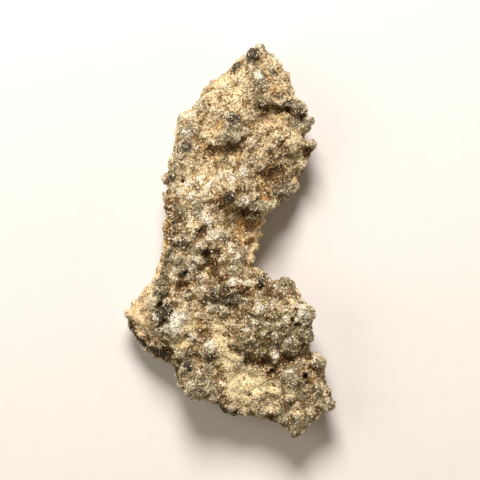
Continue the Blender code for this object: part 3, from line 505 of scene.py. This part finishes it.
@dataclass(frozen=True)
class CrustFinish:
    """The glassy bed between the grains: small fused grains side by side, each its own shade."""

    grain_mm: float = 0.2
    speck_mm: float = 0.12
    patch_mm: float = 1.8
    grain_contrast: float = 0.7
    speck_contrast: float = 1.2
    patch_contrast: float = 0.8
    least_light: float = 0.1
    deep_sand: Colour = (0.11, 0.063, 0.021)
    sand: Colour = (0.42, 0.30, 0.145)
    bright_sand: Colour = (0.80, 0.70, 0.46)
    tones: tuple[tuple[Tone, Colour], ...] = (
        # Painted shade, with dirt, in the hollows; painted light on the ridges
        (Tone.HOLLOW, (0.20, 0.13, 0.052)),
        (Tone.RIDGE, (0.60, 0.53, 0.36)),
        # Olive-grey, partly painted shade
        (Tone.OLIVE, (0.26, 0.212, 0.108)),
        (Tone.GOLD, (0.50, 0.285, 0.09)),
        (Tone.PEACH, (0.74, 0.54, 0.31)),
        (Tone.CREAM, (0.78, 0.65, 0.365)),
        (Tone.GREY, (0.21, 0.178, 0.105)),
        (Tone.MILKY, (0.70, 0.67, 0.56)),
        (Tone.RUST, (0.42, 0.22, 0.085)),
        # Painted shadow, with dirt
        (Tone.BROWN, (0.10, 0.05, 0.015)),
        # Black glass, and painted shadow
        (Tone.DARK, (0.055, 0.045, 0.032)),
        # Painted shade inside the pinholes
        (Tone.PIT, (0.012, 0.006, 0.003)),
    )
    tone_reach: float = 1.3
    tone_sharpness: float = 2.5
    tone_lead: float = 0.4
    shade_range: tuple[float, float] = (0.45, 1.5)
    relief_mm: float = 0.06
    roughest: float = 0.85
    gloss_range: float = 0.5
    gloss_rarity: float = 3.0

    def build(self) -> Material:
        """Make the crust's material.

        Returns:
            The material, which reads the tones that the mesh carries.
        """
        material, graph, shader = new_material("fused_sand_crust")
        place = graph.place()
        cells = graph.node(
            "ShaderNodeTexVoronoi", {}, {"Vector": place, "Scale": 1.0 / (self.grain_mm * MM)}
        )
        chance = graph.node("ShaderNodeSeparateColor", {}, {"Color": cells.outputs["Color"]})
        lightness = graph.field(chance, "Red")
        kind = graph.field(chance, "Green")
        gloss = graph.field(chance, "Blue")
        specks = graph.cloud(place, self.speck_mm, detail=1.0)
        patches = graph.cloud(place, self.patch_mm, detail=2.0)
        light = (
            lightness * self.grain_contrast
            + (specks - NOISE_MEAN) * self.speck_contrast
            + (patches - NOISE_MEAN) * self.patch_contrast
            + self.least_light
        ).clamped()
        first_half = (light * 2.0).clamped()
        second_half = (light * 2.0 - 1.0).clamped()
        colour = graph.mixed(first_half, self.deep_sand, self.sand)
        colour = graph.mixed(second_half, colour, self.bright_sand)
        low, high = self.shade_range
        for tone, hue in self.tones:
            lead = graph.attribute(tone.value) * self.tone_reach - kind
            share = (lead * self.tone_sharpness + self.tone_lead).clamped()
            shaded = graph.mixed(light, scaled(hue, low), scaled(hue, high))
            colour = graph.mixed(share, colour, shaded)
        graph.feed(shader.inputs["Base Color"], colour)
        shine = gloss ** self.gloss_rarity * self.gloss_range
        graph.feed(shader.inputs["Roughness"], self.roughest - shine)
        bump = graph.node(
            "ShaderNodeBump", {},
            {"Distance": self.relief_mm * MM, "Height": specks - graph.field(cells, "Distance")},
        )
        graph.feed(shader.inputs["Normal"], bump.outputs["Normal"])
        return material


@dataclass(frozen=True)
class GrainFinish:
    """One kind of sand grain, from its darkest to its lightest."""

    name: str
    dull: Colour
    bright: Colour
    cloud_mm: float = 0.12
    cloud_contrast: float = 0.6
    smoothest: float = 0.47
    roughness_range: float = 0.3

    def build(self) -> Material:
        """Make the material of this kind of grain.

        Returns:
            The material, which reads the shade that each grain carries.
        """
        material, graph, shader = new_material(f"{self.name}_grain")
        place = graph.place()
        shade = graph.attribute(SHADE)
        clouds = graph.cloud(place, self.cloud_mm, detail=1.0)
        light = (shade + (clouds - NOISE_MEAN) * self.cloud_contrast).clamped()
        graph.feed(shader.inputs["Base Color"], graph.mixed(light, self.dull, self.bright))
        graph.feed(shader.inputs["Roughness"], clouds * self.roughness_range + self.smoothest)
        return material


@dataclass(frozen=True)
class FloorFinish:
    """Matt pale paper."""

    colour: Colour = (0.72, 0.71, 0.69)
    fibre: Colour = (0.75, 0.74, 0.72)
    fibre_mm: float = 1.5
    roughness: float = 0.9

    def build(self) -> Material:
        """Return the floor's material."""
        material, graph, shader = new_material("pale_paper")
        place = graph.place()
        fibres = graph.cloud(place, self.fibre_mm, detail=2.0)
        graph.feed(shader.inputs["Base Color"], graph.mixed(fibres, self.colour, self.fibre))
        graph.feed(shader.inputs["Roughness"], self.roughness)
        return material


def read_places(mesh: Mesh) -> np.ndarray:
    """Return the places of a mesh's points in metres, one row each."""
    places = np.empty((len(mesh.vertices), 3))
    mesh.vertices.foreach_get("co", places.ravel())
    return places


def read_normals(mesh: Mesh) -> np.ndarray:
    """Return the normals of a mesh's points, one row each."""
    normals = np.empty((len(mesh.vertices), 3))
    mesh.vertex_normals.foreach_get("vector", normals.ravel())
    return normals


def write_attribute(mesh: Mesh, name: str, values: np.ndarray) -> None:
    """Store one number for each point of a mesh under a name."""
    layer = mesh.attributes.new(name, "FLOAT", "POINT")
    layer.data.foreach_set("value", values.astype(np.float32))


def standing_out(places: np.ndarray, normals: np.ndarray, edges: np.ndarray, rounds: int) -> np.ndarray:
    """Return how far each point stands out of the surface when that is smoothed.

    Args:
        places: the points, in metres.
        normals: the surface's normal at each point.
        edges: the two ends of each edge.
        rounds: how often each point is put at the mean of its neighbours.

    Returns:
        The height of each point over the smoothed surface, in millimetres.
    """
    count = len(places)
    starts, ends = edges[:, 0], edges[:, 1]
    neighbours = np.bincount(edges.ravel(), minlength=count)
    smooth = places.copy()
    for _ in range(rounds):
        columns = []
        for axis in range(3):
            forward = np.bincount(starts, smooth[ends, axis], count)
            backward = np.bincount(ends, smooth[starts, axis], count)
            columns.append((forward + backward) / neighbours)
        smooth = np.stack(columns, axis=1)
    return ((places - smooth) * normals).sum(axis=1) / MM


def eased(values: np.ndarray, low: float, high: float) -> np.ndarray:
    """Return a smooth rise from 0 at low to 1 at high."""
    share = np.clip((values - low) / (high - low), 0.0, 1.0)
    return share * share * (3.0 - 2.0 * share)


def sandy(masks: Masks) -> np.ndarray:
    """Return how strong the smooth, light tones are together at each point."""
    return masks[Tone.CREAM] + masks[Tone.PEACH] + masks[Tone.GOLD]


@dataclass
class Mark:
    """A spot on the crust, of one tone or of none, that stands out or is pressed in."""

    tone: Optional[Tone]
    centre: np.ndarray
    radius_mm: float
    strength: float
    height_mm: float = 0.0
    steepness: float = 1.0
    hidden: bool = False

    def distance(self, places: np.ndarray) -> np.ndarray:
        """Return how far each place is from the spot's centre, as a share of its radius."""
        return np.linalg.norm(places - self.centre, axis=1) / (self.radius_mm * MM)


@dataclass
class Crust:
    """The skin of the stone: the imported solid, drawn finer and roughened."""

    voxel_mm: float = 0.18
    # How wide the knobs, lumps and grit are, and how high they stand
    knob_mm: float = 1.5
    knob_height_mm: float = 0.28
    lump_mm: float = 0.62
    lump_height_mm: float = 0.2
    grit_mm: float = 0.28
    grit_height_mm: float = 0.05
    # The relief is whole from this height up. The grains are too, and have gone at the bare height
    sole_mm: float = 0.35
    bare_sole_mm: float = 0.15
    # What counts as one of the ridges, which get painted light, or one of the hollows, which get painted
    # shade: how smooth the surface is that it is held against, and the height over that or depth under it
    # at which it is whole
    relief_rounds: int = 70
    relief_mm: float = 0.28
    fine_rounds: int = 12
    fine_relief_mm: float = 0.09
    fine_start_mm: float = 0.01
    # How much of the relief, of the painted light on ridges and painted shade in hollows, and of the
    # grains some tones take away
    smooth_sand: float = 0.65
    calm_olive: float = 0.6
    calm_shades: float = 0.8
    calm_deep: float = 0.7
    bare_pit: float = 2.0
    # How far the edge of a mark wanders, as a share of its radius, and how wide each bend is
    edge_wander: float = 0.45
    edge_wander_mm: float = 0.5
    hidden_marks: int = 150
    hidden_radius_mm: tuple[float, float] = (0.5, 1.5)
    hidden_pit_mm: tuple[float, float] = (0.25, 0.4)
    hidden_strength: tuple[float, float] = (0.5, 1.0)
    seed: int = 4
    finish: CrustFinish = CrustFinish()

    def build(self, solid: Object) -> Object:
        """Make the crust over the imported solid.

        Args:
            solid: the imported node, which is left as it is.

        Returns:
            The crust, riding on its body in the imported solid's place.
        """
        crust = added("fused_crust", self.drawn_finer(solid))
        marks = self.placed_marks(crust.data)
        masks = self.spread(crust.data, marks)
        self.roughen(crust.data, marks, masks)
        self.tint(crust.data, masks)
        crust.data.materials.append(self.finish.build())
        crust.data.shade_smooth()
        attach(crust, BODY)
        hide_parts(NODE)
        return crust

    def drawn_finer(self, solid: Object) -> Mesh:
        """Draw the solid's surface again with small even faces.

        Args:
            solid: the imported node, which is left as it is.

        Returns:
            The finer mesh, with no material.
        """
        form = bmesh.new()
        form.from_mesh(solid.data)
        bmesh.ops.remove_doubles(form, verts=form.verts, dist=SAME_PLACE)
        mesh = bpy.data.meshes.new("fused_crust")
        form.to_mesh(mesh)
        form.free()
        mesh.materials.clear()
        blank = added("blank", mesh)
        remesh = blank.modifiers.new("finer", "REMESH")
        remesh.mode = "VOXEL"
        remesh.voxel_size = self.voxel_mm * MM
        finer = evaluated_mesh(blank, "fused_crust")
        bpy.data.objects.remove(blank)
        bpy.data.meshes.remove(mesh)
        return finer

    def roughen(self, mesh: Mesh, marks: list[Mark], masks: Masks) -> None:
        """Raise the knobs and small lumps and press the hollows in, but leave the soles flat.

        Args:
            mesh: the crust's mesh, which is changed.
            marks: the marks as they lie on it.
            masks: how strong each tone is at each point.
        """
        places = read_places(mesh)
        calm = 1.0 - self.calm_olive * masks[Tone.OLIVE]
        heights = np.empty(len(places))
        for index, place in enumerate(places):
            point = Vector(place)
            knob = noise.voronoi(point / (self.knob_mm * MM))[0]
            lump = noise.voronoi(point / (self.lump_mm * MM))[0]
            grit = noise.noise(point / (self.grit_mm * MM))
            heights[index] = (
                (knob[1] - knob[0] - CREASE) * self.knob_height_mm * calm[index]
                + (lump[1] - lump[0] - CREASE) * self.lump_height_mm
                + grit * self.grit_height_mm
            )
        heights *= 1.0 - self.smooth_sand * np.clip(sandy(masks), 0.0, 1.0)
        for mark in marks:
            dome = np.clip(1.0 - mark.distance(places) ** 2, 0.0, 1.0) ** mark.steepness
            heights += dome * mark.strength * mark.height_mm
        heights *= eased(places[:, 2] / MM, 0.0, self.sole_mm) * MM
        places += read_normals(mesh) * heights[:, None]
        places[:, 2] = np.maximum(places[:, 2], 0.0)
        mesh.vertices.foreach_set("co", places.ravel())
        mesh.update()

    def spread(self, mesh: Mesh, marks: list[Mark]) -> Masks:
        """Work out how strong each tone is at each point of the crust.

        Args:
            mesh: the crust's mesh.
            marks: the marks as they lie on it.

        Returns:
            For each tone of a mark, its strength at each point, with a wandering edge.
        """
        places = read_places(mesh)
        facing_down = 1.0 - eased(read_normals(mesh)[:, 2], *FACES_DOWN)
        wander = np.array([noise.noise(Vector(place) / (self.edge_wander_mm * MM)) for place in places])
        masks = {tone: np.zeros(len(places)) for tone in MARKS}
        for mark in marks:
            if mark.tone is None:
                continue
            inside = 1.0 - eased(mark.distance(places) + wander * self.edge_wander, *MARK_EDGE)
            if mark.hidden:
                inside *= facing_down
            masks[mark.tone] = np.maximum(masks[mark.tone], mark.strength * inside)
        return masks

    def tint(self, mesh: Mesh, masks: Masks) -> None:
        """Store on the mesh what the finishes and the grains read: the tones and where grains lie.

        Args:
            mesh: the crust's mesh, in its final form.
            masks: how strong each mark's tone is at each point.
        """
        places = read_places(mesh)
        normals = read_normals(mesh)
        edges = np.empty((len(mesh.edges), 2), dtype=np.int32)
        mesh.edges.foreach_get("vertices", edges.ravel())
        coarse = standing_out(places, normals, edges, self.relief_rounds)
        fine = standing_out(places, normals, edges, self.fine_rounds)
        fine_edge = (self.fine_start_mm, self.fine_relief_mm)
        sunk = np.maximum(eased(-coarse, 0.0, self.relief_mm), eased(-fine, *fine_edge))
        raised = np.maximum(eased(coarse, 0.0, self.relief_mm), eased(fine, *fine_edge))
        deep = self.calm_deep * (masks[Tone.BROWN] + masks[Tone.DARK])
        even = 1.0 - self.calm_shades * np.clip(sandy(masks) + masks[Tone.MILKY] + deep, 0.0, 1.0)
        # Painted shade, with dirt, in the hollows and painted light on the ridges, less where the marks'
        # tones lie
        masks[Tone.HOLLOW] = sunk * even
        masks[Tone.RIDGE] = raised * (1.0 - sunk) * even
        for tone, mask in masks.items():
            write_attribute(mesh, tone.value, mask)
        around_pits = np.clip(1.0 - masks[Tone.PIT] * self.bare_pit, 0.0, 1.0)
        over_soles = eased(places[:, 2] / MM, self.bare_sole_mm, self.sole_mm)
        write_attribute(mesh, COVER, around_pits * over_soles)

    def placed_marks(self, mesh: Mesh) -> list[Mark]:
        """Set the marks on the surface, and scatter others over the side that lies down.

        Args:
            mesh: the crust's mesh.

        Returns:
            The marks, with their places on the surface.
        """
        places = read_places(mesh)
        faces = [tuple(polygon.vertices) for polygon in mesh.polygons]
        surface = BVHTree.FromPolygons([Vector(place) for place in places], faces)
        eye = Vector(EYE_MM) * MM

        def seen(x: float, y: float) -> np.ndarray:
            """Return the place on the surface that the eye sees at a reading."""
            spot = Vector((x, y, READING_LEVEL_MM)) * MM
            return np.array(surface.ray_cast(eye, spot - eye)[0] or surface.find_nearest(spot)[0])

        marks = [
            Mark(None, seen(x, y), radius, 1.0, height, SWELL_STEEPNESS) for x, y, radius, height in SWELLS
        ]
        for tone, rows in MARKS.items():
            for x, y, radius, strength in rows:
                marks.append(Mark(tone, seen(x, y), radius, strength, *STANDS_OUT_MM[tone]))
        for tone, radius, strength, line in SEAMS:
            for (x, y), (next_x, next_y) in zip(line, line[1:]):
                steps = math.ceil(math.hypot(next_x - x, next_y - y) / radius)
                for share in np.arange(steps) / steps:
                    place = seen(x + (next_x - x) * share, y + (next_y - y) * share)
                    marks.append(Mark(tone, place, radius, strength))
        chance = np.random.default_rng(self.seed)
        below = np.flatnonzero(read_normals(mesh)[:, 2] < FACES_DOWN[0])
        tones = list(HIDDEN_SHARES)
        shares = list(HIDDEN_SHARES.values())
        for index in chance.choice(below, self.hidden_marks):
            tone = tones[chance.choice(len(tones), p=shares)]
            radius = chance.uniform(*(self.hidden_pit_mm if tone == Tone.PIT else self.hidden_radius_mm))
            strength = chance.uniform(*self.hidden_strength)
            marks.append(Mark(tone, places[index], radius, strength, *STANDS_OUT_MM[tone], hidden=True))
        return marks


def added(name: str, data: ID) -> Object:
    """Return a new object of a mesh, a light or a camera, in the scene."""
    thing = bpy.data.objects.new(name, data)
    bpy.context.scene.collection.objects.link(thing)
    return thing


def evaluated_mesh(carrier: Object, name: str) -> Mesh:
    """Turn what an object's modifiers make of it into a plain mesh.

    Args:
        carrier: the object with the modifiers.
        name: the mesh's name.

    Returns:
        The mesh.
    """
    depsgraph = bpy.context.evaluated_depsgraph_get()
    mesh = bpy.data.meshes.new_from_object(carrier.evaluated_get(depsgraph), depsgraph=depsgraph)
    mesh.name = name
    return mesh


class Draw(Enum):
    """What is drawn by lot for each grain. The value keeps one draw apart from another."""

    KIND = 1
    STRETCH = 2
    SIZE = 3
    SHAPE = 4
    TURN = 5
    SHADE = 6


@dataclass
class GrainShapes:
    """A few angular grains, each the hull of some points around a ball."""

    shapes: int = 7
    corners: int = 8
    corner_wander: float = 0.5
    corner_reach: tuple[float, float] = (0.42, 0.55)
    seed: int = 21

    def build(self) -> Collection:
        """Make the grains, each about one unit across.

        Returns:
            A collection of them, which no scene shows.
        """
        chance = np.random.default_rng(self.seed)
        collection = bpy.data.collections.new("grain_shapes")
        for index in range(self.shapes):
            form = bmesh.new()
            for corner in range(self.corners):
                rise = 1.0 - (2.0 * corner + 1.0) / self.corners
                turn = corner * GOLDEN_TURN + chance.uniform(-self.corner_wander, self.corner_wander)
                across = math.sqrt(1.0 - rise * rise)
                place = Vector((across * math.cos(turn), across * math.sin(turn), rise))
                form.verts.new(place * chance.uniform(*self.corner_reach))
            bmesh.ops.convex_hull(form, input=form.verts)
            bmesh.ops.recalc_face_normals(form, faces=form.faces)
            mesh = bpy.data.meshes.new(f"grain_{index}")
            form.to_mesh(mesh)
            form.free()
            collection.objects.link(bpy.data.objects.new(f"grain_{index}", mesh))
        return collection


@dataclass
class GrainLayer:
    """All the grains of one kind, bedded in the crust."""

    finish: GrainFinish
    common: float
    liking: dict[Tone, float]
    marked_loss: float = 0.9

    def weight(self, masks: Masks) -> np.ndarray:
        """Return how likely a grain is of this kind, at each point of the crust.

        Args:
            masks: how strong each tone is at each point.

        Returns:
            The weight at each point, which counts against the other kinds' weights.
        """
        plain = 1.0 - np.clip(sum(masks.values()), 0.0, 1.0) * self.marked_loss
        return self.common * plain + sum(self.liking.get(tone, 0.0) * mask for tone, mask in masks.items())


@dataclass
class GrainBed:
    """The sand grains on the crust, in one layer for each kind.

    Every layer scatters the same points, and keeps those whose chance falls in its own share.
    """

    spacing_mm: float = 0.188
    tries_per_mm2: float = 90.0
    smallest_mm: float = 0.18
    largest_mm: float = 0.35
    stretch: tuple[float, float] = (0.75, 1.2)
    sunk_mm: float = 0.045
    seed: int = 12
    # Darker grains gather where shade is painted: in the hollows, under ledges and on rim walls. Lighter
    # and greyer grains gather on the ridges, as painted light
    layers: tuple[GrainLayer, ...] = (
        GrainLayer(GrainFinish("quartz", (0.60, 0.525, 0.355), (0.79, 0.72, 0.525)), 0.75, {
            Tone.MILKY: 1.4, Tone.CREAM: 2.8, Tone.PEACH: 1.8, Tone.GREY: 0.45, Tone.RIDGE: 1.05,
            Tone.OLIVE: 0.45, Tone.GOLD: 0.2,
        }),
        GrainLayer(GrainFinish("frost", (0.70, 0.67, 0.57), (0.93, 0.90, 0.80)), 0.1,
            {Tone.MILKY: 2.8, Tone.GREY: 0.1},
        ),
        GrainLayer(
            GrainFinish("oat", (0.47, 0.37, 0.195), (0.76, 0.655, 0.40)), 1.2, {
            Tone.CREAM: 2.8, Tone.PEACH: 3.0, Tone.GREY: 0.5, Tone.MILKY: 0.4, Tone.BROWN: 0.1,
            Tone.OLIVE: 0.9, Tone.GOLD: 0.7,
        }),
        GrainLayer(GrainFinish("honey", (0.28, 0.178, 0.065), (0.62, 0.435, 0.20)), 0.42, {
            Tone.GOLD: 3.2, Tone.PEACH: 1.2, Tone.RUST: 1.2, Tone.BROWN: 0.6, Tone.HOLLOW: 0.5,
            Tone.CREAM: 0.3,
        }),
        GrainLayer(GrainFinish("smoke", (0.16, 0.130, 0.072), (0.42, 0.37, 0.245)), 0.8, {
            Tone.GREY: 2.6, Tone.MILKY: 0.6, Tone.BROWN: 0.4, Tone.DARK: 1.2, Tone.RIDGE: 0.6,
            Tone.OLIVE: 2.0,
        }),
        GrainLayer(GrainFinish("umber", (0.062, 0.030, 0.009), (0.20, 0.112, 0.038)), 0.32, {
            Tone.BROWN: 4.2, Tone.RUST: 0.8, Tone.DARK: 0.8, Tone.GREY: 0.5, Tone.HOLLOW: 1.55,
            Tone.OLIVE: 1.6, Tone.GOLD: 0.5,
        }),
        GrainLayer(GrainFinish("jet", (0.022, 0.018, 0.012), (0.10, 0.09, 0.064)), 0.06, {
            Tone.DARK: 3.6, Tone.GREY: 0.3,
        }),
        GrainLayer(GrainFinish("rust", (0.22, 0.085, 0.02), (0.50, 0.26, 0.09)), 0.01, {
            Tone.RUST: 2.0,
        }),
    )

    def share_out(self, mesh: Mesh) -> None:
        """Store on the crust, for each layer, where its share of chance starts and ends.

        Args:
            mesh: the crust's mesh, which carries the tones.
        """
        count = len(mesh.vertices)
        masks = {}
        for tone in Tone:
            masks[tone] = np.empty(count)
            mesh.attributes[tone.value].data.foreach_get("value", masks[tone])
        weights = np.array([layer.weight(masks) for layer in self.layers])
        ends = np.cumsum(weights, axis=0) / weights.sum(axis=0)
        write_attribute(mesh, "share_0", np.zeros(count))
        for index, end in enumerate(ends):
            write_attribute(mesh, f"share_{index + 1}", end)

    def inputs(self) -> dict[str, float]:
        """Return the value of each named input of the node groups, in metres."""
        return {
            "Spacing": self.spacing_mm * MM, "Tries": self.tries_per_mm2 / MM**2,
            "Smallest": self.smallest_mm * MM, "Largest": self.largest_mm * MM,
            "Sunk": -self.sunk_mm * MM, "Seed": self.seed,
        }

    def tree(self, index: int, material: Material, shapes: Collection) -> NodeTree:
        """Build the Geometry Nodes of one layer.

        Args:
            index: the layer's number.
            material: the grains' material.
            shapes: the collection of grain shapes.

        Returns:
            The node group, with the sizes as its inputs.
        """
        group = bpy.data.node_groups.new(f"{self.layers[index].finish.name}_grains", "GeometryNodeTree")
        face = group.interface
        face.new_socket("Geometry", in_out="INPUT", socket_type="NodeSocketGeometry")
        for name, value in self.inputs().items():
            kind = "NodeSocketInt" if isinstance(value, int) else "NodeSocketFloat"
            face.new_socket(name, in_out="INPUT", socket_type=kind)
        face.new_socket("Geometry", in_out="OUTPUT", socket_type="NodeSocketGeometry")
        graph = Graph(group)
        given = graph.node("NodeGroupInput", {}, {}).outputs

        def stored(name: str) -> Field:
            """Return a number that the crust carries."""
            node = graph.node("GeometryNodeInputNamedAttribute", {"data_type": "FLOAT"}, {"Name": name})
            return graph.field(node, "Attribute")

        def chance(kind: str, low: Any, high: Any, draw: Draw) -> Field:
            """Return a random value between two others, its own at each grain."""
            seed = Field(graph, given["Seed"]) + float(draw.value)
            sockets = {"Min": low, "Max": high, "Seed": seed}
            node = graph.node("FunctionNodeRandomValue", {"data_type": kind}, sockets)
            return graph.field(node, "Value")

        scatter = graph.node("GeometryNodeDistributePointsOnFaces", {"distribute_method": "POISSON"}, {
            "Mesh": given["Geometry"], "Distance Min": given["Spacing"],
            "Density Max": given["Tries"], "Density Factor": stored(COVER), "Seed": given["Seed"],
        })
        lot = chance("FLOAT", 0.0, 1.0, Draw.KIND)
        from_start = graph.maths("GREATER_THAN", lot, stored(f"share_{index}"))
        to_end = 1.0 - graph.maths("GREATER_THAN", lot, stored(f"share_{index + 1}"))
        own = graph.node("GeometryNodeSeparateGeometry", {"domain": "POINT"}, {
            "Geometry": scatter.outputs["Points"], "Selection": from_start * to_end,
        })
        down = graph.stretched(scatter.outputs["Normal"], given["Sunk"])
        sunk = graph.node(
            "GeometryNodeSetPosition", {}, {"Geometry": own.outputs["Selection"], "Offset": down}
        )
        grains = graph.node("GeometryNodeCollectionInfo", {}, {
            "Collection": shapes, "Separate Children": True, "Reset Children": True,
        })
        least, most = self.stretch
        size = graph.stretched(
            chance("FLOAT_VECTOR", (least,) * 3, (most,) * 3, Draw.STRETCH),
            chance("FLOAT", given["Smallest"], given["Largest"], Draw.SIZE),
        )
        placed = graph.node("GeometryNodeInstanceOnPoints", {}, {
            "Points": sunk.outputs["Geometry"],
            "Instance": grains.outputs["Instances"],
            "Pick Instance": True,
            "Instance Index": chance("INT", 0, len(shapes.objects) - 1, Draw.SHAPE),
            "Rotation": chance("FLOAT_VECTOR", (0.0,) * 3, (math.tau,) * 3, Draw.TURN),
            "Scale": size,
        })
        on_grains = {"data_type": "FLOAT", "domain": "INSTANCE"}
        shaded = graph.node("GeometryNodeStoreNamedAttribute", on_grains, {
            "Geometry": placed.outputs["Instances"],
            "Name": SHADE,
            "Value": chance("FLOAT", 0.0, 1.0, Draw.SHADE),
        })
        real = graph.node("GeometryNodeRealizeInstances", {}, {"Geometry": shaded.outputs["Geometry"]})
        dressed = graph.node(
            "GeometryNodeSetMaterial", {}, {"Geometry": real.outputs["Geometry"], "Material": material}
        )
        graph.node("NodeGroupOutput", {}, {"Geometry": dressed.outputs["Geometry"]})
        return group

    def build(self, crust: Object) -> list[Object]:
        """Bed the grains of every kind in the crust.

        Args:
            crust: the crust, with its tones stored on its mesh.

        Returns:
            One piece for each kind of grain.
        """
        self.share_out(crust.data)
        shapes = GrainShapes().build()
        given = self.inputs()
        shares = [f"share_{index}" for index in range(len(self.layers) + 1)]
        carried = [tone.value for tone in Tone] + [COVER] + shares
        pieces = []
        for index, layer in enumerate(self.layers):
            carrier = added("carrier", crust.data)
            grow = carrier.modifiers.new("grains", "NODES")
            grow.node_group = self.tree(index, layer.finish.build(), shapes)
            for item in grow.node_group.interface.items_tree:
                if item.name in given:
                    grow[item.identifier] = given[item.name]
            name = f"{layer.finish.name}_grains"
            grains = added(name, evaluated_mesh(carrier, name))
            bpy.data.objects.remove(carrier)
            for attribute in carried:
                grains.data.attributes.remove(grains.data.attributes[attribute])
            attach(grains, BODY)
            pieces.append(grains)
        for share in shares:
            crust.data.attributes.remove(crust.data.attributes[share])
        for shape in list(shapes.objects):
            bpy.data.objects.remove(shape)
        bpy.data.collections.remove(shapes)
        return pieces


@dataclass(frozen=True)
class Lamp:
    """A soft panel light that looks at the middle of the stone."""

    name: str
    place_mm: tuple[float, float, float]
    width_mm: float
    watts: float
    colour: Colour

    def build(self) -> None:
        """Hang the light."""
        light = bpy.data.lights.new(self.name, "AREA")
        light.shape = "DISK"
        light.size = self.width_mm * MM
        light.energy = self.watts
        light.color = self.colour
        lamp = added(self.name, light)
        lamp.location = Vector(self.place_mm) * MM
        lamp.rotation_euler = (-lamp.location).to_track_quat("-Z", "Y").to_euler()


@dataclass
class Studio:
    """The pale floor, the soft light from the pointed end and the camera that looks down."""

    floor_mm: float = 1600.0
    lamps: tuple[Lamp, ...] = (
        Lamp("window", (-15.0, 205.0, 235.0), 130.0, 1.47, (1.0, 0.92, 0.88)),
        Lamp("bounce", (-180.0, 20.0, 180.0), 200.0, 0.22, (1.0, 0.92, 0.80)),
        Lamp("glow", (170.0, -60.0, 70.0), 160.0, 0.075, (1.0, 0.78, 0.62)),
    )
    sky: Colour = (1.0, 0.85, 0.65)
    sky_strength: float = 0.1
    sensor_mm: float = 36.0
    lens_mm: float = 142.2

    def build(self) -> None:
        """Set the scene around the stone."""
        half = self.floor_mm * MM / 2.0
        corners = [(-half, -half, 0.0), (half, -half, 0.0), (half, half, 0.0), (-half, half, 0.0)]
        mesh = bpy.data.meshes.new("floor")
        mesh.from_pydata(corners, [], [(0, 1, 2, 3)])
        mesh.materials.append(FloorFinish().build())
        floor = added("floor", mesh)
        for lamp in self.lamps:
            lamp.build()
        world = bpy.data.worlds.new("studio")
        world.use_nodes = True
        background = world.node_tree.nodes["Background"]
        background.inputs["Color"].default_value = (*self.sky, 1.0)
        background.inputs["Strength"].default_value = self.sky_strength
        scene = bpy.context.scene
        scene.world = world
        scene.view_settings.view_transform = "Standard"
        lens = bpy.data.cameras.new("camera")
        lens.sensor_width = self.sensor_mm
        lens.lens = self.lens_mm
        camera = added("camera", lens)
        camera.location = Vector(EYE_MM) * MM
        scene.camera = camera


def triangles(piece: Object) -> int:
    """Return how many triangles a piece's faces make."""
    return sum(len(polygon.vertices) - 2 for polygon in piece.data.polygons)


def main() -> None:
    """Build the crust, its grains and the studio."""
    logging.basicConfig(level=logging.INFO, format="%(name)s: %(message)s")
    crust = Crust().build(frame["nodes"][NODE])
    LOG.info("%s: %d triangles", crust.name, triangles(crust))
    for grains in GrainBed().build(crust):
        LOG.info("%s: %d triangles", grains.name, triangles(grains))
    Studio().build()


if __name__ == "__main__":
    main()
